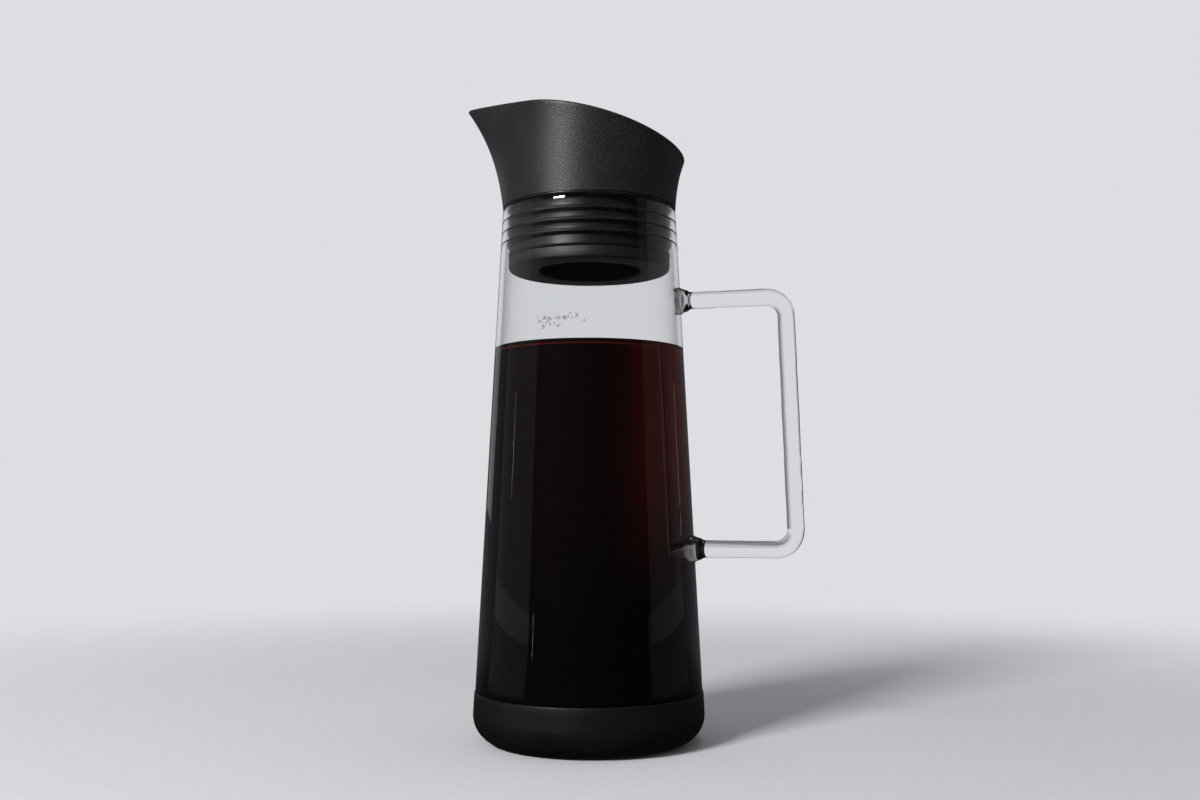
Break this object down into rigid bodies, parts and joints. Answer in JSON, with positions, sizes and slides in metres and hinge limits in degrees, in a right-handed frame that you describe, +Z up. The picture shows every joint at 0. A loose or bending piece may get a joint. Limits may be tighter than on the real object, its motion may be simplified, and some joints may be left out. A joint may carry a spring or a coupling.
{
  "type": "cold brew coffee maker",
  "caption": "Tall tapered glass carafe with a glass rod handle, a silicone base sleeve, a flared spout lid with a finned stopper and a capped brew filter inside.",
  "frame": {"origin": "on the carafe's axis, in the flat underside of the base sleeve, at the height of the table", "axes": "+Z up along the carafe's axis; the spout points to -X; +Y is across the spout, and the handle's plane is turned 16 degrees from +X towards -Y"},
  "size_m": [0.1512, 0.1044, 0.2905],
  "materials": {
    "carafe_glass": "clear blown borosilicate glass",
    "handle_glass": "clear glass rod",
    "base_silicone": "satin black silicone",
    "lid_plastic": "fine spark-eroded matte black",
    "stopper_plastic": "smooth satin black",
    "seal_silicone": "glossy black silicone",
    "flap_plastic": "smooth satin black",
    "pin_steel": "ground stainless steel",
    "gasket_silicone": "matte grey-black silicone",
    "filter_plastic": "matte black moulded plastic",
    "mesh_steel": "woven stainless steel mesh"
  },
  "bodies": {
    "carafe_body": {"carafe": "carafe_glass", "handle": "handle_glass", "base_sleeve": "base_silicone"},
    "lid": {"lid_shell": "lid_plastic", "lid_core": "stopper_plastic", "lid_seal": "seal_silicone", "seal_retainer": "stopper_plastic", "flap_pin": "pin_steel"},
    "flap": {"pour_flap": "flap_plastic", "flap_gasket": "gasket_silicone"},
    "filter": {"filter_base": "filter_plastic", "filter_frame": "filter_plastic", "filter_mesh": "mesh_steel"},
    "cap": {"filter_cap": "filter_plastic", "cap_gasket": "gasket_silicone"}
  },
  "joints": [
    {"name": "lid_lift", "type": "slide", "parent": "carafe_body", "child": "lid", "axis": [0, 0, 1], "range_m": [0, 0.3]},
    {"name": "pour_flap_hinge", "type": "hinge", "parent": "lid", "child": "flap", "pos_m": [0.0243, 0, 0.2306], "axis": [0, 1, 0], "range_deg": [0, 55]},
    {"name": "filter_lift", "type": "slide", "parent": "carafe_body", "child": "filter", "axis": [0, 0, 1], "range_m": [0, 0.27]},
    {"name": "cap_lift", "type": "slide", "parent": "filter", "child": "cap", "axis": [0, 0, 1], "range_m": [0, 0.04]}
  ],
  "couplings": [
    {"joint": "filter_lift", "follows": "lid_lift", "ratio": 0.9}
  ]
}
